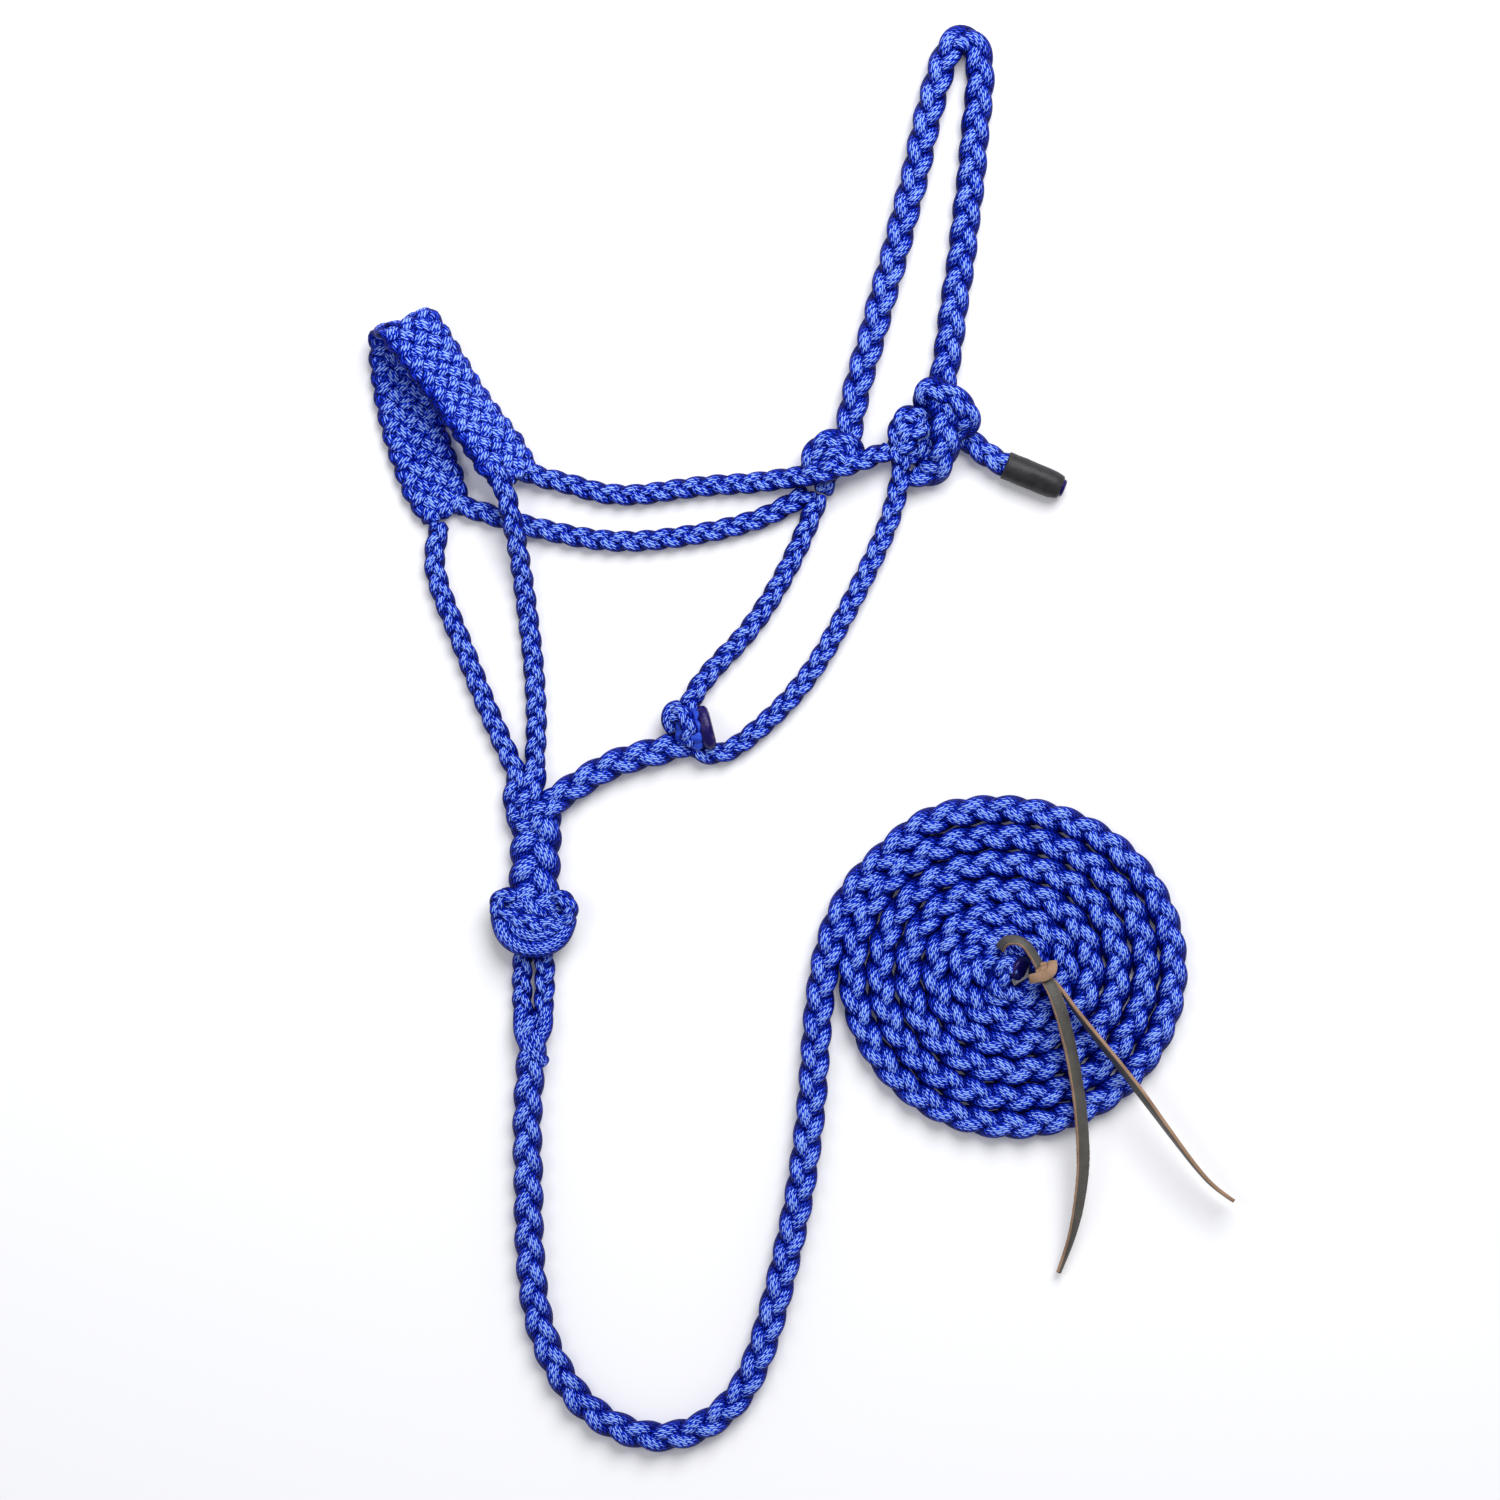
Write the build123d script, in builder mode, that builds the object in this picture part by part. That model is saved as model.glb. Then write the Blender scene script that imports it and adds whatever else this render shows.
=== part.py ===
"""Rope halter with its lead, laid flat on its side on the floor.

Millimetres. +Z is up, +Y runs from the horse's chin towards its ears, and +X from its nose
towards its throat. The origin is on the floor, under the middle of the halter without its lead.

The halter is tied from one soft cord: a flat woven noseband, plaited cheek pieces and nose
drops, a chin strap that ends in a stopper knot, a throatlatch, a thick crown strap and a tie
knot. The lead hangs from the knot under the chin, and is wound into a flat coil with a leather
popper at its end.
"""

from build123d import *

import math
import os

# Driving sizes
THIN_BRAID = 14.0  # cheek pieces, nose drops and throatlatch
THICK_BRAID = 18.0  # crown strap and chin strap
LEAD_WIDTH = 19.0  # the lead's plait
BAND_WIDTH = 44.0  # woven noseband, edge to edge
BAND_THICK = 9.0
HINGE_GAP = 0.5  # running clearance around a turning rope end
TOOL_HEIGHT = 80.0  # a cutter taller than anything it cuts

# Heights of the knots above the floor
FAR_KNOT_HEIGHT = 24.0
STUB_HEIGHT = 14.0  # the short end below the far cheek knot
TIE_LOOP_HEIGHT = 21.0
TIE_BIGHT_HEIGHT = 27.0
JUNCTION_HEIGHT = 17.0
COLLAR_HEIGHT = 28.0
TOGGLE_HEIGHT = 25.0
TOP_TURN_WIDTH = 13.0

# The braid between the chin junction and the collar knot
NECK_WIDTH = 33.0
NECK_THICK = 16.0
NECK_TOP = -222.0
NECK_LENGTH = 46.0

# Pivots of the four turning bodies, x and y
LEAD_PIVOT = (-121.0, -300.0)
TAIL_PIVOT = (157.0, 43.0)
POPPER_PIVOT = (218.0, -321.0)

# The lead's eye, whose two legs lie side by side
EYE_WIDTH = 27.0
EYE_THICK = 15.0
EYE_LENGTH = 62.0
EYE_SLIT = 1.6
EYE_SWING = (-36, 16)  # degrees, one more than the joint each way

# The coil and its end
COIL_CENTRE = (197.0, -319.0)
COIL_RADII = (116.5, 112.5)
COIL_THICK = 18.0
COIL_EDGE = 7.0
END_CENTRE = (198.0, -317.0)
END_RADIUS = 9.0
END_HEIGHT = 7.0

# The leather popper
LEATHER_WIDTH = 10.0
LEATHER_THICK = 2.4
LOOP_WIDTH = 7.0
POPPER_KNOT_RADIUS = 7.0
POPPER_KNOT_HEIGHT = 15.0

# The crown strap's tail and its shrunk sleeve
SLEEVE_START = (184.0, 19.5)
SLEEVE_END = (229.5, 1.0)
SLEEVE_WALL = 0.9
SLEEVE_LAP = 9.0  # how far past SLEEVE_START the sleeve's mouth is
TAIL_WIDTH = 17.0
TAIL_SWING = (-16, 16)
TIP_THICK = 3.0


def corner_radii(points):
    """The largest even arc at each corner: 0.45 of its shorter run sets the tangent length."""
    radii = []
    for before, corner, after in zip(points, points[1:], points[2:]):
        run_in = corner - before
        run_out = after - corner
        half_turn = math.radians(run_in.get_angle(run_out)) / 2
        shorter = min(run_in.length, run_out.length)
        radii.append(0.45 * shorter / math.tan(half_turn))
    return radii


def cord(label, route, diameter):
    """A round cord along straight runs that tangent arcs join."""
    points = [Vector(*point) for point in route]
    radii = corner_radii(points)
    with BuildPart() as tube:
        with BuildLine() as path:
            FilletPolyline(*points, radius=radii)
        line = path.wire()
        with BuildSketch(Plane(line @ 0, z_dir=line % 0)):
            Circle(diameter / 2)
        sweep(path=line)
    tube.part.label = label
    length = line.length
    ratio = tube.part.volume / (math.pi * diameter**2 / 4 * length)
    print(f"{label}: {length:.0f} mm, volume ratio {ratio:.3f}, tightest arc {min(radii):.0f} mm")
    return tube.part


def strap(label, route, width, thickness):
    """A flat strap along the same kind of route, its width level and its thickness upright."""
    points = [Vector(*point) for point in route]
    with BuildPart() as strip:
        with BuildLine() as path:
            FilletPolyline(*points, radius=corner_radii(points))
        line = path.wire()
        ahead = line % 0
        with BuildSketch(Plane(line @ 0, x_dir=ahead.cross(Vector(0, 0, 1)), z_dir=ahead)):
            Rectangle(width, thickness)
        sweep(path=line)
    strip.part.label = label
    ratio = strip.part.volume / (width * thickness * line.length)
    print(f"{label}: {line.length:.0f} mm, volume ratio {ratio:.3f}")
    return strip.part


def band_plane(middle, across, ahead):
    """A section plane of the noseband, square to the band's own across direction."""
    across = Vector(*across).normalized()
    return Plane(middle, x_dir=across, z_dir=ahead - across * ahead.dot(across))


def lump(label, centre, size, height, turn=0.0, edge=5.0):
    """A knot's outer shape: an upright oval block with softened edges, standing on the floor."""
    with BuildPart() as block:
        with BuildSketch(Plane((centre[0], centre[1], 0), x_dir=Vector(1, 0, 0).rotate(Axis.Z, turn))):
            RectangleRounded(size[0], size[1], min(size) * 0.42)
        extrude(amount=height)
        fillet(block.faces().sort_by(Axis.Z)[-1].edges(), edge)
        fillet(block.faces().sort_by(Axis.Z)[0].edges(), edge * 0.5)
    block.part.label = label
    return block.part


def swing_room(pivot, heading, swing, half_width, reach, height):
    """The space that a turning rope end sweeps out under a knot."""
    with BuildPart() as room:
        with BuildSketch(Plane.XY.offset(-1)):
            with Locations(pivot):
                Circle(half_width)
            steps = 5
            for step in range(steps):
                angle = heading + swing[0] + (swing[1] - swing[0]) * step / (steps - 1)
                out = Vector(reach / 2, 0, 0).rotate(Axis.Z, angle)
                with Locations(Location((pivot[0] + out.X, pivot[1] + out.Y), angle)):
                    Rectangle(reach, 2 * half_width)
        extrude(amount=height + 1)
    return room.part


os.makedirs("parts", exist_ok=True)

# ---------------------------------------------------------------- woven noseband
# Sections from the far half's end, over the fold, to the near half's end: the middle of the
# band, then the direction across it. The band's own direction follows from the next section.
BAND_SECTIONS = [
    ((-179, -18, 4.6), (0.78, 0.62, 0.0)),
    ((-191, 10, 4.6), (0.90, 0.43, 0.0)),
    ((-200, 36, 4.6), (0.96, 0.27, 0.0)),
    ((-206, 60, 4.6), (0.985, 0.17, 0.0)),
    ((-209, 82, 4.8), (0.99, 0.14, 0.0)),
    ((-210, 98.5, 8), (0.96, 0.27, -0.05)),
    ((-208, 109.5, 16), (0.90, 0.42, -0.12)),
    ((-203, 107.5, 24), (0.84, 0.47, -0.26)),
    ((-194.5, 96.5, 25), (0.78, 0.50, -0.38)),
    ((-183, 80, 22.5), (0.70, 0.52, -0.49)),
    ((-168, 57, 20), (0.65, 0.49, -0.58)),
    ((-152, 35, 18), (0.66, 0.50, -0.56)),
    ((-139, 17, 15), (0.70, 0.56, -0.44)),
    ((-131, 7, 13), (0.74, 0.60, -0.30)),
]

with BuildPart() as noseband:
    middles = [Vector(*middle) for middle, across in BAND_SECTIONS]
    for index, (middle, across) in enumerate(BAND_SECTIONS):
        after = middles[min(index + 1, len(middles) - 1)]
        before = middles[max(index - 1, 0)]
        with BuildSketch(band_plane(middle, across, after - before)):
            SlotOverall(BAND_WIDTH, BAND_THICK)
    loft(ruled=True)
noseband.part.label = "noseband"
export_step(noseband.part, "parts/noseband.step")

# ---------------------------------------------------------------- plaited side pieces
CHEEK_NEAR = [
    (-133, 14, 10), (-117, 8, 7.2), (-98, 4, 7), (-76, -3, 7), (-52, -4, 7), (-27, 0, 7),
    (-2, 3, 7), (23, 4, 7), (45, 7, 9), (64, 9, 17), (80, 13, 22), (97, 18, 20), (115, 26, 12),
]
CHEEK_FAR = [
    (-172, -10, 7), (-155, -15, 7), (-134, -22, 7), (-109, -28, 7), (-85, -33, 7), (-59, -35, 7),
    (-34, -33, 7), (-7, -29, 7), (19, -23, 7), (41, -15, 7), (62, -2, 7.5),
]
DROP_FAR = [
    (-183, -22, 7), (-189, -43, 7), (-184, -66, 7), (-174, -90, 7), (-164, -115, 7),
    (-154, -141, 7), (-143, -166, 7), (-131, -192, 7),
]
DROP_NEAR = [
    (-148, 18, 21), (-140, 1, 22), (-135, -20, 22.5), (-131, -41, 15), (-128, -62, 8), (-125, -85, 7),
    (-122, -109, 7), (-120, -134, 7), (-119, -160, 7), (-121, -190, 7),
]
CHIN_STRAP = [
    (-115, -212, 9), (-102, -203, 9), (-87, -193, 9), (-70, -183, 9), (-51, -177, 9),
    (-33, -173, 9), (-17, -167, 9),
]
THROATLATCH = [
    (69, -3, 8), (62, -22, 7), (51, -47, 7), (36, -74, 7), (19, -98, 7), (-2, -119, 7),
    (-17, -139, 8), (-22, -160, 9), (-12, -176, 8), (7, -176, 7), (28, -160, 7), (50, -139, 7),
    (69, -114, 7), (84, -87, 7), (97, -62, 7), (109, -37, 7), (119, -12, 7), (124, 14, 8),
]
CROWN_STRAP = [
    (86, 26, 10), (90, 50, 9), (96, 76, 9), (104, 102, 9), (111, 129, 9), (119, 156, 9),
    (125.5, 183, 9), (133, 210, 9), (138, 236, 9), (144, 260, 9), (150, 281, 9), (157, 298, 9),
    (169, 301, 9), (176, 287, 9), (175.5, 264, 9), (172, 237, 9), (170, 208, 9), (166, 179, 9),
    (163, 150, 9), (158, 122, 9), (155, 94, 9), (150, 66, 9),
]

SIDE_PIECES = {
    "cheek_braid_near": (CHEEK_NEAR, THIN_BRAID),
    "cheek_braid_far": (CHEEK_FAR, THIN_BRAID),
    "nose_drop_far": (DROP_FAR, THIN_BRAID),
    "nose_drop_near": (DROP_NEAR, THIN_BRAID),
    "chin_strap": (CHIN_STRAP, THICK_BRAID),
    "throatlatch": (THROATLATCH, THIN_BRAID),
    "crown_strap": (CROWN_STRAP, THICK_BRAID),
}
for piece, (route, diameter) in SIDE_PIECES.items():
    export_step(cord(piece, route, diameter), f"parts/{piece}.step")

# ---------------------------------------------------------------- knots of the halter
# The near cheek piece passes over the far knot's stub, so the knot is cut away above it there.
cheek_lump = lump("far_cheek_knot", (76, 24), (30, 30), FAR_KNOT_HEIGHT, edge=7)
with BuildPart() as far_cheek_knot:
    add(cheek_lump)
    with Locations((76, 4, 0)):
        Box(24, 24, STUB_HEIGHT, align=(Align.CENTER, Align.CENTER, Align.MIN))
    with BuildSketch(Plane.XY.offset(STUB_HEIGHT + 0.6)):
        with Locations((82, 8)):
            Rectangle(44, 22)
    extrude(amount=TOOL_HEIGHT, mode=Mode.SUBTRACT)
far_cheek_knot.part.label = "far_cheek_knot"
export_step(far_cheek_knot.part, "parts/far_cheek_knot.step")

tie_loop = lump("tie_loop", (126, 34), (25, 42), TIE_LOOP_HEIGHT, edge=6)
export_step(tie_loop, "parts/tie_loop.step")

TOP_TURN = [
    (134, 60, 15), (138, 70, 21), (149, 71, 26), (161, 65, 28), (170, 57, 27.5), (173, 46, 26),
]
top_turn = cord("tie_knot_top_turn", TOP_TURN, TOP_TURN_WIDTH)
export_step(top_turn, "parts/tie_knot_top_turn.step")

tail_room = swing_room(TAIL_PIVOT, -42, TAIL_SWING, TAIL_WIDTH / 2 + HINGE_GAP, 45, TAIL_WIDTH + 1.3)
tie_lump = lump("tie_knot_bight", (148.5, 33), (25, 54), TIE_BIGHT_HEIGHT, edge=7)
with BuildPart() as tie_knot:
    add(tie_lump)
    add(tail_room, mode=Mode.SUBTRACT)
tie_knot.part.label = "tie_knot_bight"
export_step(tie_knot.part, "parts/tie_knot_bight.step")

with BuildPart() as chin_junction:
    with BuildSketch():
        with BuildLine():
            Polyline((-144, -180), (-106, -186), (-101, -203), (-107, -222), (-132, -222), (-144, -180))
        make_face()
    extrude(amount=JUNCTION_HEIGHT)
    fillet(chin_junction.edges().filter_by(Axis.Z), 4)
    fillet(chin_junction.faces().sort_by(Axis.Z)[-1].edges(), 3)
chin_junction.part.label = "chin_junction"
export_step(chin_junction.part, "parts/chin_junction.step")

with BuildPart() as neck_braid:
    with BuildSketch(Plane.XZ.offset(-NECK_TOP)):
        with Locations((-119.5, NECK_THICK / 2)):
            SlotOverall(NECK_WIDTH, NECK_THICK)
    extrude(amount=NECK_LENGTH)
neck_braid.part.label = "neck_braid"
export_step(neck_braid.part, "parts/neck_braid.step")

eye_room = swing_room(LEAD_PIVOT, -90, EYE_SWING, EYE_WIDTH / 2 + HINGE_GAP, 60, EYE_THICK + 1)
collar_lump = lump("collar_knot", (-120, -289.5), (58, 45), COLLAR_HEIGHT, edge=8)
with BuildPart() as collar_knot:
    add(collar_lump)
    add(eye_room, mode=Mode.SUBTRACT)
collar_knot.part.label = "collar_knot"
export_step(collar_knot.part, "parts/collar_knot.step")

toggle_knot = lump("toggle_knot", (-22, -163), (24, 40), TOGGLE_HEIGHT, turn=-12, edge=7)
export_step(toggle_knot, "parts/toggle_knot.step")

TOGGLE_END_AXIS = Vector(1, 0, 0.15)
with BuildPart() as toggle_end:
    with BuildSketch(Plane((-10, -159, 14), x_dir=(0, 1, 0), z_dir=TOGGLE_END_AXIS)):
        Ellipse(15, 9)
    extrude(amount=7)
    fillet(toggle_end.faces().sort_by(Axis.X)[-1].edges(), 2)
toggle_end.part.label = "toggle_melted_end"
export_step(toggle_end.part, "parts/toggle_melted_end.step")

# ---------------------------------------------------------------- crown tail and its sleeve
tail_height = TAIL_WIDTH / 2 + SLEEVE_WALL
CROWN_TAIL = [(*TAIL_PIVOT, tail_height), (170.5, 31, tail_height), (*SLEEVE_START, tail_height),
              (*SLEEVE_END, tail_height)]
tail_cord = cord("crown_tail", CROWN_TAIL, TAIL_WIDTH)
with BuildPart() as crown_tail:
    add(tail_cord)
    with Locations((*TAIL_PIVOT, tail_height)):
        Sphere(TAIL_WIDTH / 2)
crown_tail.part.label = "crown_tail"
export_step(crown_tail.part, "parts/crown_tail.step")

sleeve_axis = Vector(*SLEEVE_END, 0) - Vector(*SLEEVE_START, 0)
sleeve_plane = Plane(
    Vector(*SLEEVE_START, tail_height) + sleeve_axis.normalized() * SLEEVE_LAP, z_dir=sleeve_axis
)
with BuildPart() as end_sleeve:
    with BuildSketch(sleeve_plane):
        Circle(TAIL_WIDTH / 2 + SLEEVE_WALL)
        Circle(TAIL_WIDTH / 2, mode=Mode.SUBTRACT)
    extrude(amount=sleeve_axis.length - SLEEVE_LAP)
end_sleeve.part.label = "end_sleeve"
export_step(end_sleeve.part, "parts/end_sleeve.step")

with BuildPart() as tail_tip:
    with BuildSketch(Plane(Vector(*SLEEVE_END, tail_height), z_dir=sleeve_axis)):
        Circle(TAIL_WIDTH / 2 - 1)
    extrude(amount=TIP_THICK)
    fillet(tail_tip.faces().filter_by(GeomType.PLANE).sort_by(Axis.X)[-1].edges(), 1)
tail_tip.part.label = "tail_melted_tip"
export_step(tail_tip.part, "parts/tail_melted_tip.step")

# ---------------------------------------------------------------- lead
with BuildPart() as lead_eye:
    with BuildSketch(Plane.XY.offset(HINGE_GAP)):
        with Locations(LEAD_PIVOT):
            Circle(EYE_WIDTH / 2)
        with Locations((LEAD_PIVOT[0], LEAD_PIVOT[1] - EYE_LENGTH / 2)):
            Rectangle(EYE_WIDTH, EYE_LENGTH)
        with Locations((LEAD_PIVOT[0], LEAD_PIVOT[1] - EYE_LENGTH * 0.4)):
            Rectangle(EYE_SLIT, EYE_LENGTH * 0.7, mode=Mode.SUBTRACT)
    extrude(amount=EYE_THICK - HINGE_GAP)
    fillet(lead_eye.edges().group_by(Axis.Y)[0].filter_by(Axis.Z), 7)
lead_eye.part.label = "lead_eye"
export_step(lead_eye.part, "parts/lead_eye.step")

LEAD_ROPE = [
    (-121, -361), (-123, -382), (-125, -407), (-125.5, -433), (-124.5, -460), (-124.5, -490),
    (-123, -520), (-119, -550), (-109, -579), (-91, -607), (-65, -625), (-36, -631.5), (-8, -624),
    (15, -605), (29, -577), (39, -543), (47, -510), (55, -473), (60, -440), (64, -406),
    (66, -374), (68.5, -342), (73, -312), (81, -285), (94, -262), (112, -244),
]
lead_rope = cord("lead_rope", [(x, y, LEAD_WIDTH / 2) for x, y in LEAD_ROPE], LEAD_WIDTH)
export_step(lead_rope, "parts/lead_rope.step")

with BuildPart() as lead_coil:
    with BuildSketch():
        with Locations(COIL_CENTRE):
            Ellipse(*COIL_RADII)
    extrude(amount=COIL_THICK)
    fillet(lead_coil.edges(), COIL_EDGE)
lead_coil.part.label = "lead_coil"
export_step(lead_coil.part, "parts/lead_coil.step")

with BuildPart() as lead_end:
    with BuildSketch(Plane.XY.offset(COIL_THICK)):
        with Locations(END_CENTRE):
            Circle(END_RADIUS)
    extrude(amount=END_HEIGHT)
    fillet(lead_end.faces().sort_by(Axis.Z)[-1].edges(), 2)
lead_end.part.label = "lead_end"
export_step(lead_end.part, "parts/lead_end.step")

# ---------------------------------------------------------------- leather popper
POPPER_LOOP = [(188, -306, 20.5), (192, -299, 25), (201, -298.5, 28), (209, -305, 28), (214, -314, 26)]
popper_loop = strap("popper_loop", POPPER_LOOP, LOOP_WIDTH, LEATHER_THICK)
export_step(popper_loop, "parts/popper_loop.step")

with BuildPart() as popper_knot:
    with BuildSketch(Plane.XY.offset(COIL_THICK)):
        with Locations(POPPER_PIVOT):
            Circle(POPPER_KNOT_RADIUS)
    extrude(amount=POPPER_KNOT_HEIGHT)
    fillet(popper_knot.faces().sort_by(Axis.Z)[-1].edges(), 3)
popper_knot.part.label = "popper_knot"
export_step(popper_knot.part, "parts/popper_knot.step")

TONGUE_NEAR = [
    (222, -329.5, 31), (226.5, -342, 31.5), (231, -357, 30.5), (236, -378, 26), (240.5, -403, 22.5),
    (243, -430, 20.5), (243.5, -450, 19), (241.5, -470, 16), (238.5, -488, 12), (234, -505, 8),
    (228, -521, 5),
]
tongue_near = strap("popper_tongue_near", TONGUE_NEAR, LEATHER_WIDTH, LEATHER_THICK)
export_step(tongue_near, "parts/popper_tongue_near.step")

TONGUE_FAR = [
    (225, -327.5, 24.2), (231, -335.5, 24), (239, -347, 24), (250, -361, 24.2), (263, -377, 24.3),
    (278, -396, 24.3), (292, -415, 24), (306, -434, 23), (319, -451, 21), (331, -464, 19),
    (343, -472, 17),
]
tongue_far = strap("popper_tongue_far", TONGUE_FAR, LEATHER_THICK, LEATHER_WIDTH)
export_step(tongue_far, "parts/popper_tongue_far.step")
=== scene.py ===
"""The looks of the rope halter: plaited and woven cord, leather and a shrunk sleeve.

Everything is in metres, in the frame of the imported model: +Z is up from the floor, +Y runs from
the chin towards the ears and +X from the nose towards the throat.
"""

import math
from typing import NamedTuple

import bpy
import numpy as np
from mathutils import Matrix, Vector


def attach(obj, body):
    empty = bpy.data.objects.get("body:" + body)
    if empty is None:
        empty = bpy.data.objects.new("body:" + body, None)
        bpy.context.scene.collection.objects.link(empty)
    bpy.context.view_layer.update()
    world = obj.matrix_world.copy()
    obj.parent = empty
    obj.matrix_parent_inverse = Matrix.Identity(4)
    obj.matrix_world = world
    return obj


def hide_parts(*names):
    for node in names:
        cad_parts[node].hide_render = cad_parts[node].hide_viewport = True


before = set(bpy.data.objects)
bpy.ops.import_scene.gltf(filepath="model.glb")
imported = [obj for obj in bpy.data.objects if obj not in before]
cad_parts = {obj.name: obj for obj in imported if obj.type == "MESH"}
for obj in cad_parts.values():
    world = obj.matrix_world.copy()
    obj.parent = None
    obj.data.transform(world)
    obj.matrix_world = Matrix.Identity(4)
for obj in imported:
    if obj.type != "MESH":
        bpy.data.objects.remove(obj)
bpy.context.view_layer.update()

UP = np.array([0.0, 0.0, 1.0])
RING_SIDES = 14
SIDE_STEP = 0.0016
KNOT_STEP = 0.0012
RANDOM = np.random.default_rng(7)


# ---------------------------------------------------------------- lines through routes


def spline_points(route):
    """The points of the smooth NURBS line whose control points are the route's."""
    curve = bpy.data.curves.new("route", "CURVE")
    curve.dimensions = "3D"
    curve.resolution_u = 20
    spline = curve.splines.new("NURBS")
    spline.points.add(len(route) - 1)
    for control, place in zip(spline.points, route):
        control.co = (*place, 1.0)
    spline.order_u = 3
    spline.use_endpoint_u = True
    holder = bpy.data.objects.new("route", curve)
    mesh = bpy.data.meshes.new_from_object(holder)
    points = np.array([vertex.co[:] for vertex in mesh.vertices])
    bpy.data.meshes.remove(mesh)
    bpy.data.objects.remove(holder)
    bpy.data.curves.remove(curve)
    return points


def distances(points):
    """How far along the line each of its points is."""
    steps = np.linalg.norm(np.diff(points, axis=0), axis=1)
    return np.concatenate([[0.0], np.cumsum(steps)])


def at_even_steps(points, step):
    """The same line with a point every step."""
    along = distances(points)
    count = max(3, int(round(along[-1] / step)) + 1)
    even = np.linspace(0.0, along[-1], count)
    columns = [np.interp(even, along, points[:, axis]) for axis in range(points.shape[1])]
    return np.stack(columns, axis=1)


def unit(vectors):
    return vectors / np.maximum(np.linalg.norm(vectors, axis=-1, keepdims=True), 1e-12)


class Line:
    """A line that lies with its face up, with its length, its heading and the way across it."""

    def __init__(self, route, step):
        self.points = at_even_steps(spline_points(route), step)
        self.along = distances(self.points)
        self.length = self.along[-1]
        self.heading = unit(np.gradient(self.points, axis=0))
        self.face = unit(UP - (self.heading @ UP)[:, None] * self.heading)
        self.across = unit(np.cross(self.heading, self.face))


# ---------------------------------------------------------------- strands


LEAST_ROUNDING = 0.03
# How high bundled cords count as lying in a plait, used only for their painted light and shade.
BUNDLE_SHADING_LIFT = 0.7


def strand(centre, face, width, thick, lift):
    """One cord's rings: an oval across its heading, rounded off at both ends.

    lift is how high it lies in its plait, from -1 under the others to 1 over them; it sets only the painted
    shading, which paints the cord's sides dark, the face turned out of its plait lighter and the face turned
    into it darker.
    """
    heading = unit(np.gradient(centre, axis=0))
    out = unit(face - np.sum(face * heading, axis=1, keepdims=True) * heading)
    across = np.cross(heading, out)
    along = distances(centre)
    from_end = np.minimum(along, along[-1] - along) / (thick / 2)
    close = np.clip(from_end, 0.0, 1.0)
    rounding = np.sqrt(np.maximum(1.0 - (1.0 - close) ** 2, LEAST_ROUNDING))
    angles = np.linspace(-math.pi / 2, 1.5 * math.pi, RING_SIDES, endpoint=False)
    wide = (width / 2 * rounding)[:, None] * np.cos(angles)[None, :]
    high = (thick / 2 * rounding)[:, None] * np.sin(angles)[None, :]
    sideways = wide[..., None] * across[:, None, :]
    upward = high[..., None] * out[:, None, :]
    rings = centre[:, None, :] + sideways + upward
    lift = np.broadcast_to(lift, along.shape)[:, None]
    # Painted light and shade: dark on the cord's sides, light on the face turned out of its plait and dark
    # on the face turned into it.
    relief = np.abs(np.sin(angles)) ** 1.2 * (0.55 + 0.45 * lift * np.sign(np.sin(angles)))
    return {"rings": rings, "along": along, "relief": relief, "girth": math.pi * (width + thick) / 2}


def cord_mesh(name, strands, material):
    """One object of several strands.

    Its first UV layer is each strand's length and girth, in metres, and its second is the painted light
    and shade of each point, from 0 to 1: dark on each cord's sides and by how the cord lies in its plait.
    """
    verts, faces, uvs, painted_shading_uvs = [], [], [], []
    first = 0
    for one in strands:
        rings = one["rings"]
        count = len(rings)
        shift = RANDOM.uniform(0.0, 0.5)
        verts.append(rings.reshape(-1, 3))
        relief = one["relief"].ravel()
        around = one["girth"] / RING_SIDES
        for ring in range(count - 1):
            low = one["along"][ring] + shift
            high = one["along"][ring + 1] + shift
            start = ring * RING_SIDES
            for side in range(RING_SIDES):
                after = (side + 1) % RING_SIDES
                following = start + RING_SIDES
                corners = (start + side, following + side, following + after, start + after)
                faces.append(tuple(first + corner for corner in corners))
                painted_shading_uvs.extend([(relief[corner], 0.0) for corner in corners])
                left = side * around
                uvs.extend([(low, left), (high, left), (high, left + around), (low, left + around)])
        last = (count - 1) * RING_SIDES
        for cap in (range(RING_SIDES), reversed(range(last, last + RING_SIDES))):
            corners = tuple(cap)
            faces.append(tuple(first + corner for corner in corners))
            painted_shading_uvs.extend([(relief[corner], 0.0) for corner in corners])
            uvs.extend([(shift, side * around) for side in range(RING_SIDES)])
        first += count * RING_SIDES
    mesh = bpy.data.meshes.new(name)
    mesh.from_pydata(np.concatenate(verts).tolist(), [], faces)
    lay = mesh.uv_layers.new(name="cord")
    lay.data.foreach_set("uv", np.array(uvs, dtype=np.float32).ravel())
    # The second UV layer holds the painted light and shade of each point.
    painted_shading_layer = mesh.uv_layers.new(name="relief")
    painted_shading_layer.data.foreach_set("uv", np.array(painted_shading_uvs, dtype=np.float32).ravel())
    return add_mesh(name, mesh, material)


def add_mesh(name, mesh, *materials):
    """An object for the mesh, smooth and in its materials."""
    mesh.polygons.foreach_set("use_smooth", [True] * len(mesh.polygons))
    for material in materials:
        mesh.materials.append(material)
    mesh.update()
    piece = bpy.data.objects.new(name, mesh)
    bpy.context.scene.collection.objects.link(piece)
    return piece


class Size(NamedTuple):
    """A plait's outer size, the length in which each cord goes once around, and its cords' size."""

    width: float
    thick: float
    lay_length: float
    cord_width: float
    cord_thick: float


PLAIT_CORDS = 3


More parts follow.
